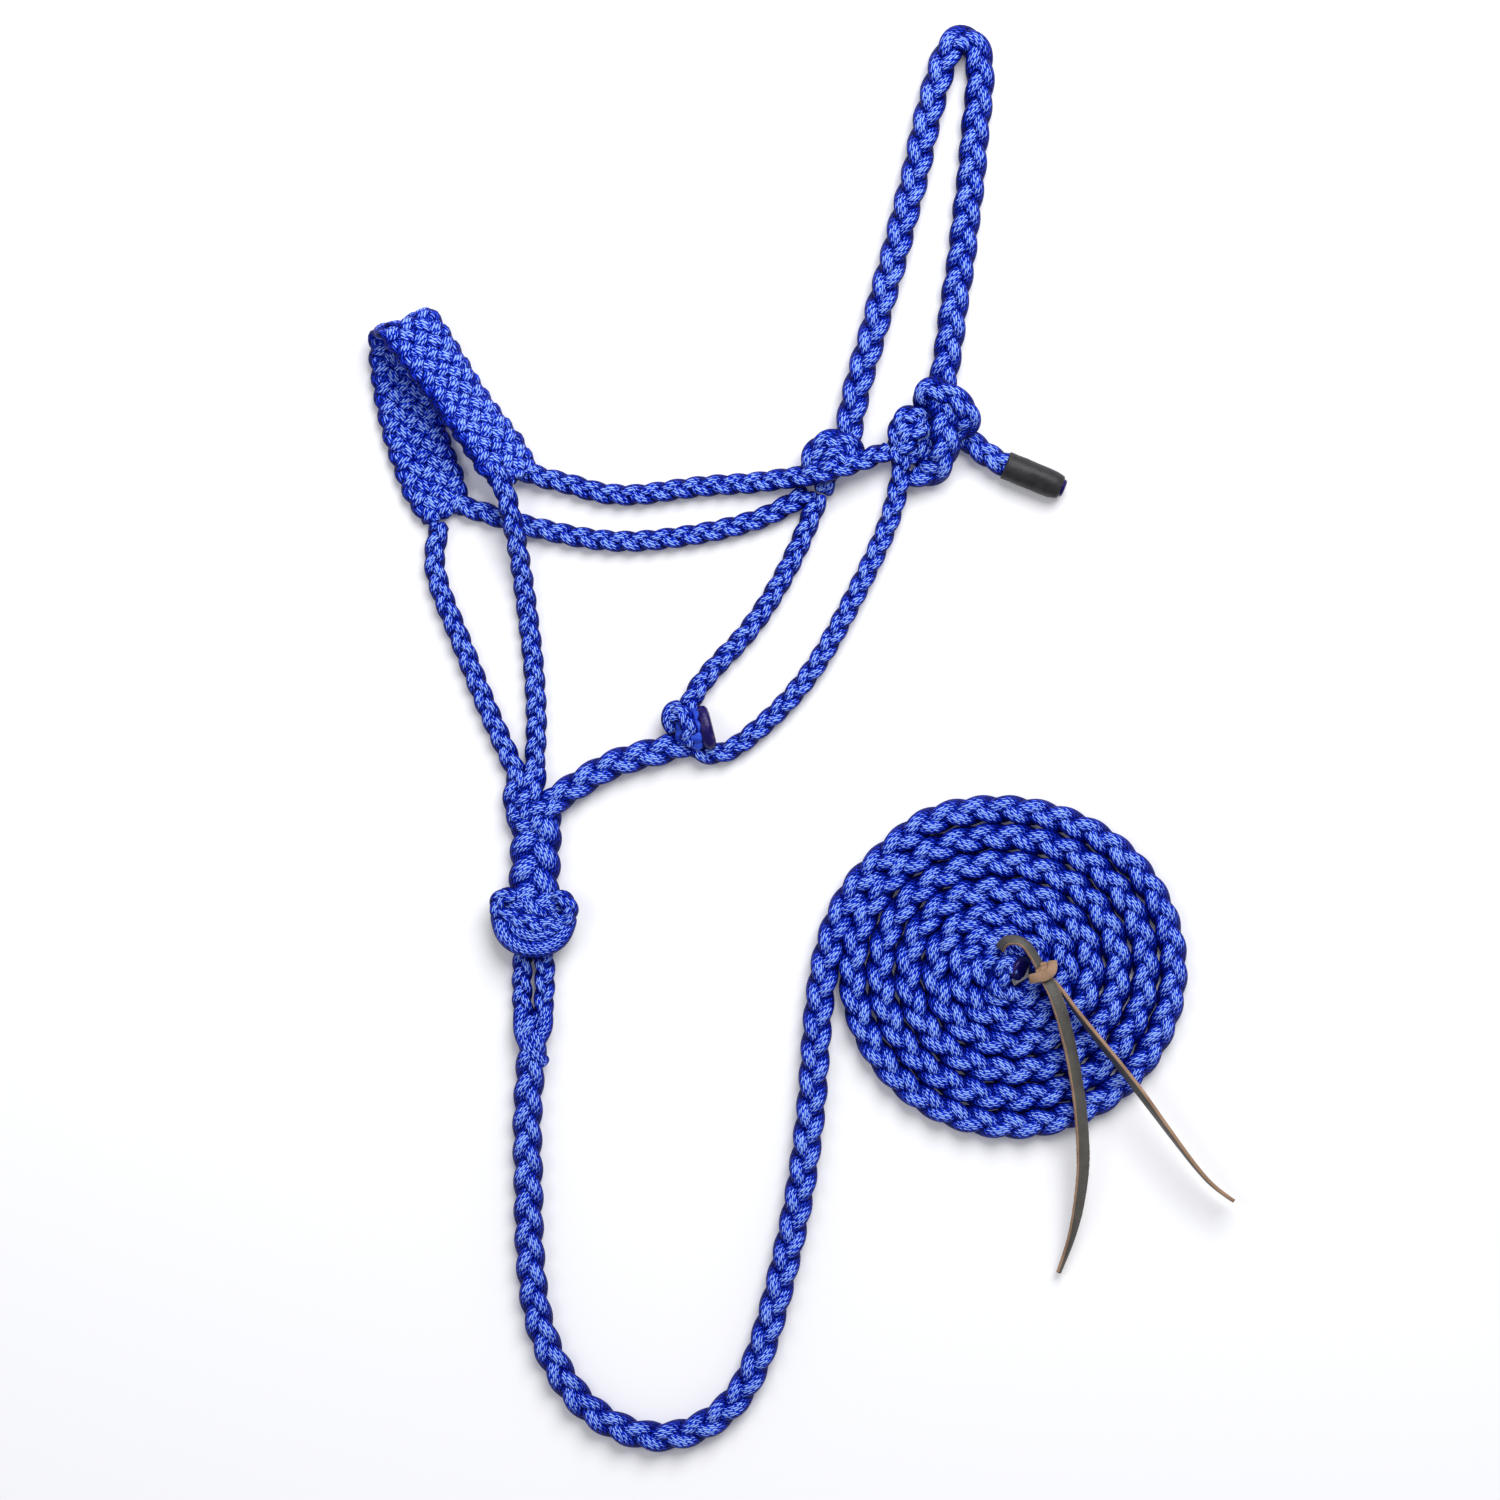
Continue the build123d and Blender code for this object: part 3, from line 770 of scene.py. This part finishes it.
BAND_SECTIONS = [
    ((-0.1790, -0.0180, 0.0057), (0.78, 0.62, 0.0)),
    ((-0.1910, 0.0100, 0.0057), (0.90, 0.43, 0.0)),
    ((-0.2000, 0.0360, 0.0057), (0.96, 0.27, 0.0)),
    ((-0.2060, 0.0600, 0.0057), (0.985, 0.17, 0.0)),
    ((-0.2090, 0.0820, 0.0058), (0.99, 0.14, 0.0)),
    ((-0.2100, 0.0985, 0.0080), (0.96, 0.27, -0.05)),
    ((-0.2080, 0.1095, 0.0160), (0.90, 0.42, -0.12)),
    ((-0.2030, 0.1075, 0.0240), (0.84, 0.47, -0.26)),
    ((-0.1945, 0.0965, 0.0250), (0.78, 0.50, -0.38)),
    ((-0.1830, 0.0800, 0.0225), (0.70, 0.52, -0.49)),
    ((-0.1680, 0.0570, 0.0200), (0.65, 0.49, -0.58)),
    ((-0.1520, 0.0350, 0.0180), (0.66, 0.50, -0.56)),
    ((-0.1390, 0.0170, 0.0150), (0.70, 0.56, -0.44)),
    ((-0.1310, 0.0070, 0.0130), (0.74, 0.60, -0.30)),
]
BAND_WIDTH = 0.044
BAND_END_WIDTH = 0.034
BAND_END = 0.020
BAND_STEP = 0.0014
BAND_CORDS = 6
BAND_CORD_WIDTH = 0.0112
BAND_CORD_THICK = 0.0060
BAND_LAY_LENGTH = 0.074
BAND_DIP = 0.0024


class BandLine:
    """The noseband's middle line, with the directions across it taken from its sections."""

    def __init__(self, sections):
        middles = spline_points([middle for middle, across in sections])
        acrosses = spline_points([across for middle, across in sections])
        both = np.concatenate([middles, acrosses], axis=1)
        along = distances(middles)
        even = np.linspace(0.0, along[-1], int(along[-1] / BAND_STEP))
        both = np.stack([np.interp(even, along, both[:, axis]) for axis in range(6)], axis=1)
        self.points = both[:, :3]
        self.along = distances(self.points)
        self.length = self.along[-1]
        self.heading = unit(np.gradient(self.points, axis=0))
        across = both[:, 3:]
        self.across = unit(across - np.sum(across * self.heading, axis=1, keepdims=True) * self.heading)
        self.face = np.cross(self.across, self.heading)


band = BandLine(BAND_SECTIONS)
from_end = np.clip(np.minimum(band.along, band.length - band.along) / BAND_END, 0, 1)
band_width = BAND_END_WIDTH + (BAND_WIDTH - BAND_END_WIDTH) * from_end
band_cords = flat_plait(band, band_width, BAND_CORD_WIDTH, BAND_CORD_THICK, BAND_LAY_LENGTH, BAND_CORDS,
                        BAND_DIP)
dress(cord_mesh("noseband_weave", band_cords, cord_blue), "halter", "rope", "noseband")

# ---------------------------------------------------------------- plaited side pieces

THIN = Size(0.0146, 0.0118, 0.041, 0.0076, 0.0058)
THICK = Size(0.0200, 0.0152, 0.056, 0.0102, 0.0078)
SHORTEST_CORD_WIDTHS = 6

CHEEK_NEAR = [
    (-0.133, 0.014, 0.010), (-0.117, 0.008, 0.0072), (-0.098, 0.004, 0.006), (-0.076, -0.003, 0.006),
    (-0.052, -0.004, 0.006), (-0.027, 0.000, 0.006), (-0.002, 0.003, 0.006), (0.023, 0.004, 0.006),
    (0.045, 0.007, 0.009), (0.064, 0.009, 0.017), (0.080, 0.013, 0.021), (0.097, 0.018, 0.018),
    (0.115, 0.026, 0.012),
]
CHEEK_FAR = [
    (-0.172, -0.010, 0.006), (-0.155, -0.015, 0.006), (-0.134, -0.022, 0.006), (-0.109, -0.028, 0.006),
    (-0.085, -0.033, 0.006), (-0.059, -0.035, 0.006), (-0.034, -0.033, 0.006), (-0.007, -0.029, 0.006),
    (0.019, -0.023, 0.006), (0.041, -0.015, 0.006), (0.062, -0.002, 0.0075),
]
DROP_FAR = [
    (-0.183, -0.022, 0.006), (-0.189, -0.043, 0.006), (-0.184, -0.066, 0.006), (-0.174, -0.090, 0.006),
    (-0.164, -0.115, 0.006), (-0.154, -0.141, 0.006), (-0.143, -0.166, 0.006), (-0.131, -0.192, 0.006),
]
DROP_NEAR = [
    (-0.148, 0.018, 0.021), (-0.140, 0.001, 0.022), (-0.135, -0.020, 0.021), (-0.131, -0.041, 0.014),
    (-0.128, -0.062, 0.007), (-0.125, -0.085, 0.006), (-0.122, -0.109, 0.006), (-0.120, -0.134, 0.006),
    (-0.119, -0.160, 0.006), (-0.121, -0.190, 0.006),
]
CHIN_STRAP = [
    (-0.115, -0.212, 0.009), (-0.102, -0.203, 0.009), (-0.087, -0.193, 0.008), (-0.070, -0.183, 0.008),
    (-0.051, -0.177, 0.008), (-0.033, -0.173, 0.008), (-0.017, -0.167, 0.008),
]
THROATLATCH = [
    (0.069, -0.003, 0.008), (0.062, -0.022, 0.006), (0.051, -0.047, 0.006), (0.036, -0.074, 0.006),
    (0.019, -0.098, 0.006), (-0.002, -0.119, 0.006), (-0.017, -0.139, 0.008), (-0.022, -0.160, 0.009),
    (-0.012, -0.176, 0.008), (0.007, -0.176, 0.006), (0.028, -0.160, 0.006), (0.050, -0.139, 0.006),
    (0.069, -0.114, 0.006), (0.084, -0.087, 0.006), (0.097, -0.062, 0.006), (0.109, -0.037, 0.006),
    (0.119, -0.012, 0.006), (0.124, 0.014, 0.008),
]
CROWN_STRAP = [
    (0.086, 0.026, 0.010), (0.090, 0.050, 0.009), (0.096, 0.076, 0.008), (0.104, 0.102, 0.008),
    (0.111, 0.129, 0.008), (0.119, 0.156, 0.008), (0.1255, 0.183, 0.008), (0.133, 0.210, 0.008),
    (0.138, 0.236, 0.008), (0.144, 0.260, 0.008), (0.150, 0.281, 0.008), (0.157, 0.298, 0.008),
    (0.169, 0.301, 0.008), (0.176, 0.287, 0.008), (0.1755, 0.264, 0.008), (0.172, 0.237, 0.008),
    (0.170, 0.208, 0.008), (0.166, 0.179, 0.008), (0.163, 0.150, 0.008), (0.158, 0.122, 0.008),
    (0.155, 0.094, 0.008), (0.150, 0.066, 0.008),
]
SIDE_PIECES = {
    "cheek_braid_near": (CHEEK_NEAR, THIN, 0.4),
    "cheek_braid_far": (CHEEK_FAR, THIN, 1.7),
    "nose_drop_far": (DROP_FAR, THIN, 0.9),
    "nose_drop_near": (DROP_NEAR, THIN, 2.6),
    "chin_strap": (CHIN_STRAP, THICK, 0.2),
    "throatlatch": (THROATLATCH, THIN, 1.2),
    "crown_strap": (CROWN_STRAP, THICK, 0.0),
}
for node, (route, size, turn) in SIDE_PIECES.items():
    line = Line(route, SIDE_STEP)
    piece = cord_mesh(f"{node}_plait", plait(line, size, turn), cord_blue)
    dress(piece, "halter", "rope", node)
    if line.length > SHORTEST_CORD_WIDTHS * size.width:
        tuple(line.points[0])

# ---------------------------------------------------------------- chin junction, heel braid and collar

JUNCTION_ROUTES = [
    [(-0.131, -0.187, 0.007), (-0.1345, -0.199, 0.0080), (-0.135, -0.211, 0.0085), (-0.130, -0.225, 0.008)],
    [(-0.121, -0.186, 0.006), (-0.121, -0.197, 0.0095), (-0.126, -0.208, 0.0115), (-0.133, -0.221, 0.009)],
    [(-0.104, -0.204, 0.009), (-0.111, -0.209, 0.011), (-0.119, -0.217, 0.0125), (-0.128, -0.228, 0.009)],
    [(-0.114, -0.208, 0.007), (-0.109, -0.217, 0.0085), (-0.110, -0.228, 0.0085), (-0.115, -0.238, 0.007)],
]
JUNCTION_WIDTHS = (0.0146, 0.0175, 0.0185, 0.0150)
junction = []
for index, (route, width) in enumerate(zip(JUNCTION_ROUTES, JUNCTION_WIDTHS)):
    size = Size(width, 0.0118, 0.044, 0.53 * width, 0.0064)
    junction += knot_plait(route, size, 1.0 + 0.8 * index)
dress(cord_mesh("chin_junction_cords", junction, cord_blue), "halter", "rope", "chin_junction")

HEEL_ROUTE = [
    (-0.1195, -0.2190, 0.0080), (-0.1195, -0.2350, 0.0082),
    (-0.1205, -0.2550, 0.0082), (-0.1210, -0.2760, 0.0090),
]
HEEL_SIZE = Size(0.0350, 0.0160, 0.054, 0.0155, 0.0092)
heel = knot_plait(HEEL_ROUTE, HEEL_SIZE, 1.1)
dress(cord_mesh("neck_braid_plait", heel, cord_blue), "halter", "rope", "neck_braid")

COLLAR_DOME = [
    (-0.1400, -0.2800, 0.0090), (-0.1388, -0.2910, 0.0140), (-0.1320, -0.2985, 0.0170),
    (-0.1215, -0.3012, 0.0180), (-0.1110, -0.2995, 0.0170), (-0.1035, -0.2930, 0.0140),
    (-0.1015, -0.2820, 0.0090),
]
COLLAR_BRIDGE = [
    (-0.1400, -0.2830, 0.0130), (-0.1300, -0.2855, 0.0200), (-0.1190, -0.2885, 0.0215),
    (-0.1080, -0.2895, 0.0190), (-0.1010, -0.2870, 0.0130),
]
COLLAR_EARS = [
    [(-0.1320, -0.2710, 0.0100), (-0.1385, -0.2685, 0.0175), (-0.1450, -0.2725, 0.0190),
     (-0.1455, -0.2800, 0.0180), (-0.1395, -0.2840, 0.0160), (-0.1330, -0.2815, 0.0110)],
    [(-0.1090, -0.2730, 0.0100), (-0.1030, -0.2700, 0.0180), (-0.0965, -0.2745, 0.0195),
     (-0.0960, -0.2825, 0.0185), (-0.1015, -0.2870, 0.0160), (-0.1080, -0.2850, 0.0110)],
]
COLLAR_CROSSINGS = [
    [(-0.1450, -0.2775, 0.0100), (-0.1330, -0.2770, 0.0125), (-0.1200, -0.2765, 0.0130),
     (-0.1090, -0.2775, 0.0125), (-0.0970, -0.2785, 0.0100)],
    [(-0.1340, -0.2660, 0.0080), (-0.1270, -0.2735, 0.0130), (-0.1190, -0.2800, 0.0165),
     (-0.1120, -0.2860, 0.0150)],
    [(-0.1070, -0.2660, 0.0080), (-0.1135, -0.2740, 0.0135), (-0.1210, -0.2800, 0.0150),
     (-0.1300, -0.2860, 0.0140)],
]
BRIDGE_SIZE = Size(0.0130, 0.0108, 0.036, 0.0076, 0.0060)
EAR_SIZE = Size(0.0112, 0.0102, 0.028, 0.0062, 0.0054)
collar = bundle(COLLAR_DOME, 2, 0.0205, 0.0100, 0.0025)
collar += knot_plait(COLLAR_BRIDGE, BRIDGE_SIZE, 0.8)
for ear in COLLAR_EARS:
    collar += knot_plait(ear, EAR_SIZE)
for crossing in COLLAR_CROSSINGS:
    collar += bundle(crossing, 1, 0.0120, 0.0085)
dress(cord_mesh("collar_knot_cords", collar, cord_blue), "halter", "rope", "collar_knot")

# ---------------------------------------------------------------- knots of the crown and throat

FAR_KNOT_WRAPS = [
    [(0.0640, 0.0060, 0.0070), (0.0625, 0.0170, 0.0125), (0.0660, 0.0270, 0.0155),
     (0.0745, 0.0325, 0.0170), (0.0845, 0.0315, 0.0180), (0.0925, 0.0255, 0.0175),
     (0.0965, 0.0180, 0.0120)],
    [(0.0645, 0.0090, 0.0080), (0.0690, 0.0165, 0.0160), (0.0760, 0.0215, 0.0195),
     (0.0840, 0.0220, 0.0200), (0.0900, 0.0190, 0.0180), (0.0935, 0.0150, 0.0100)],
    [(0.0620, 0.0100, 0.0080), (0.0680, 0.0085, 0.0140), (0.0740, 0.0095, 0.0140),
     (0.0790, 0.0110, 0.0090)],
]
FAR_KNOT_WIDTHS = (0.0155, 0.0150, 0.0120)
FAR_KNOT_STUB = [(0.0760, 0.0140, 0.0080), (0.0730, 0.0050, 0.0072), (0.0700, -0.0020, 0.0062)]
STUB_SIZE = Size(0.0155, 0.0122, 0.042, 0.0088, 0.0062)
far_knot = knot_plait(FAR_KNOT_STUB, STUB_SIZE, 0.5)
for index, (route, width) in enumerate(zip(FAR_KNOT_WRAPS, FAR_KNOT_WIDTHS)):
    size = Size(width, 0.0120, 0.046, 0.54 * width, 0.0068)
    far_knot += knot_plait(route, size, 0.9 * index)
dress(cord_mesh("far_cheek_knot_cords", far_knot, cord_blue), "halter", "rope", "far_cheek_knot")

TIE_LOOP = [
    (0.1250, 0.0130, 0.0080), (0.1205, 0.0240, 0.0110), (0.1200, 0.0350, 0.0140), (0.1215, 0.0440, 0.0150),
    (0.1270, 0.0495, 0.0150), (0.1340, 0.0495, 0.0145), (0.1385, 0.0440, 0.0130), (0.1385, 0.0350, 0.0110),
    (0.1350, 0.0270, 0.0090), (0.1290, 0.0180, 0.0070),
]
TIE_CROSSING = [
    (0.1180, 0.0200, 0.0080), (0.1225, 0.0270, 0.0130), (0.1285, 0.0345, 0.0160), (0.1345, 0.0405, 0.0160),
    (0.1400, 0.0450, 0.0110),
]
TIE_LOOP_SIZE = Size(0.0138, 0.0115, 0.036, 0.0072, 0.0060)
TIE_CROSSING_SIZE = Size(0.0150, 0.0105, 0.040, 0.0078, 0.0056)
tie_loop = knot_plait(TIE_LOOP, TIE_LOOP_SIZE)
tie_loop += knot_plait(TIE_CROSSING, TIE_CROSSING_SIZE, 1.0)
dress(cord_mesh("tie_loop_plait", tie_loop, cord_blue), "halter", "rope", "tie_loop")

TOP_TURN = [
    (0.1450, 0.0530, 0.0100), (0.1385, 0.0560, 0.0150), (0.1375, 0.0630, 0.0200), (0.1430, 0.0665, 0.0235),
    (0.1510, 0.0640, 0.0255), (0.1585, 0.0590, 0.0265), (0.1650, 0.0540, 0.0265), (0.1685, 0.0470, 0.0235),
    (0.1660, 0.0400, 0.0180), (0.1590, 0.0370, 0.0130),
]
TOP_TURN_SIZE = Size(0.0165, 0.0125, 0.056, 0.0088, 0.0068)
top_turn = knot_plait(TOP_TURN, TOP_TURN_SIZE, 2.0)
dress(cord_mesh("tie_top_turn_plait", top_turn, cord_blue), "halter", "rope", "tie_knot_top_turn")

BIGHT = [
    (0.1505, 0.0600, 0.0200), (0.1515, 0.0480, 0.0220), (0.1520, 0.0370, 0.0225), (0.1520, 0.0270, 0.0215),
    (0.1505, 0.0185, 0.0175), (0.1450, 0.0120, 0.0125), (0.1375, 0.0085, 0.0090), (0.1310, 0.0120, 0.0080),
]
TIE_INNER = [
    (0.1440, 0.0520, 0.0100), (0.1430, 0.0400, 0.0110), (0.1425, 0.0280, 0.0105), (0.1430, 0.0160, 0.0080),
]
BIGHT_SIZE = Size(0.0205, 0.0140, 0.052, 0.0105, 0.0075)
TIE_INNER_SIZE = Size(0.0130, 0.0105, 0.040, 0.0074, 0.0056)
bight = knot_plait(BIGHT, BIGHT_SIZE, 0.7)
bight += knot_plait(TIE_INNER, TIE_INNER_SIZE, 0.4)
dress(cord_mesh("tie_bight_plait", bight, cord_blue), "halter", "rope", "tie_knot_bight")

# ---------------------------------------------------------------- crown tail and its sleeve

TAIL_HEIGHT = 0.0094
TAIL_ROUTE = [
    (0.1570, 0.0430, 0.0072), (0.1640, 0.0365, 0.0074), (0.1740, 0.0275, 0.0084),
    (0.1860, 0.0187, TAIL_HEIGHT), (0.2000, 0.0130, TAIL_HEIGHT),
]
TAIL_SIZE = Size(0.0170, 0.0136, 0.040, 0.0090, 0.0070)
SLEEVE_START = (0.1924, 0.0161, TAIL_HEIGHT)
SLEEVE_AXIS = (45.5, -18.5, 0.0)
SLEEVE_SIZES = (1.0, 0.96)
SLEEVE_PROFILE = [
    (0.0000, 0.0079), (0.0000, 0.0092), (0.0010, 0.0095), (0.0060, 0.0093),
    (0.0120, 0.0095), (0.0200, 0.0093), (0.0280, 0.0094), (0.0340, 0.0091),
    (0.0375, 0.0084), (0.0395, 0.0077), (0.0400, 0.0070), (0.0392, 0.0064),
]
TIP_PROFILE = [(0.0360, 0.0060), (0.0395, 0.0062), (0.0415, 0.0060), (0.0424, 0.0048), (0.0420, 0.0020)]

tail_cords = knot_plait(TAIL_ROUTE, TAIL_SIZE, 1.4)
dress(cord_mesh("crown_tail_plait", tail_cords, cord_blue), "tail", "rope", "crown_tail")
sleeve = turned_mesh("end_sleeve_tube", SLEEVE_START, SLEEVE_AXIS, SLEEVE_PROFILE, SLEEVE_SIZES,
                     sleeve_black, 0.008)
dress(sleeve, "tail", "shrink_sleeve", "end_sleeve")
tip = turned_mesh("tail_melted_end", SLEEVE_START, SLEEVE_AXIS, TIP_PROFILE, SLEEVE_SIZES, melted_end, 0.02)
dress(tip, "tail", "melted_cord", "tail_melted_tip")

# ---------------------------------------------------------------- toggle on the throatlatch

TOGGLE_RING = [
    (-0.0230, -0.1440, 0.0100), (-0.0290, -0.1440, 0.0135), (-0.0325, -0.1500, 0.0150),
    (-0.0320, -0.1570, 0.0140), (-0.0280, -0.1610, 0.0110),
]
TOGGLE_OVER = [
    (-0.0300, -0.1500, 0.0140), (-0.0245, -0.1475, 0.0180), (-0.0190, -0.1520, 0.0212),
    (-0.0170, -0.1610, 0.0205), (-0.0190, -0.1690, 0.0140),
]
TOGGLE_OVER_SIZE = Size(0.0122, 0.0098, 0.034, 0.0070, 0.0054)
DISC_CENTRE = (-0.0095, -0.1595, 0.0140)
DISC_AXIS = (0.97, 0.24, 0.0)
DISC_SIZES = (0.0150, 0.0095)
DISC_PROFILE = [
    (-0.0015, 0.60), (-0.0008, 0.86), (0.0010, 0.98), (0.0035, 1.0), (0.0055, 0.97),
    (0.0070, 0.86), (0.0076, 0.62), (0.0070, 0.30), (0.0072, 0.05),
]
FLARE_CORDS = 9
FLARE_WIDE = 0.0115
FLARE_HIGH = 0.0062

toggle = bundle(TOGGLE_RING, 1, 0.0085, 0.0070)
toggle += knot_plait(TOGGLE_OVER, TOGGLE_OVER_SIZE, 0.4)
dress(cord_mesh("toggle_cords", toggle, cord_blue), "halter", "rope", "toggle_knot")
satin = []
for index in range(FLARE_CORDS):
    angle = 2 * math.pi * index / FLARE_CORDS
    sideways = FLARE_WIDE * math.cos(angle)
    upward = FLARE_HIGH * math.sin(angle)
    flare = [(-0.0265, -0.1590 + 0.3 * sideways, 0.0120 + 0.4 * upward),
             (-0.0180, -0.1590 + 0.75 * sideways, 0.0135 + 0.9 * upward),
             (-0.0080, -0.1595 + sideways, 0.0140 + upward)]
    satin += bundle(flare, 1, 0.0085, 0.0060)
dress(cord_mesh("toggle_satin_cords", satin, cord_smooth), "halter", "rope")
disc = turned_mesh("toggle_melted_disc", DISC_CENTRE, DISC_AXIS, DISC_PROFILE, DISC_SIZES, melted_end, 0.015)
dress(disc, "halter", "melted_cord", "toggle_melted_end")
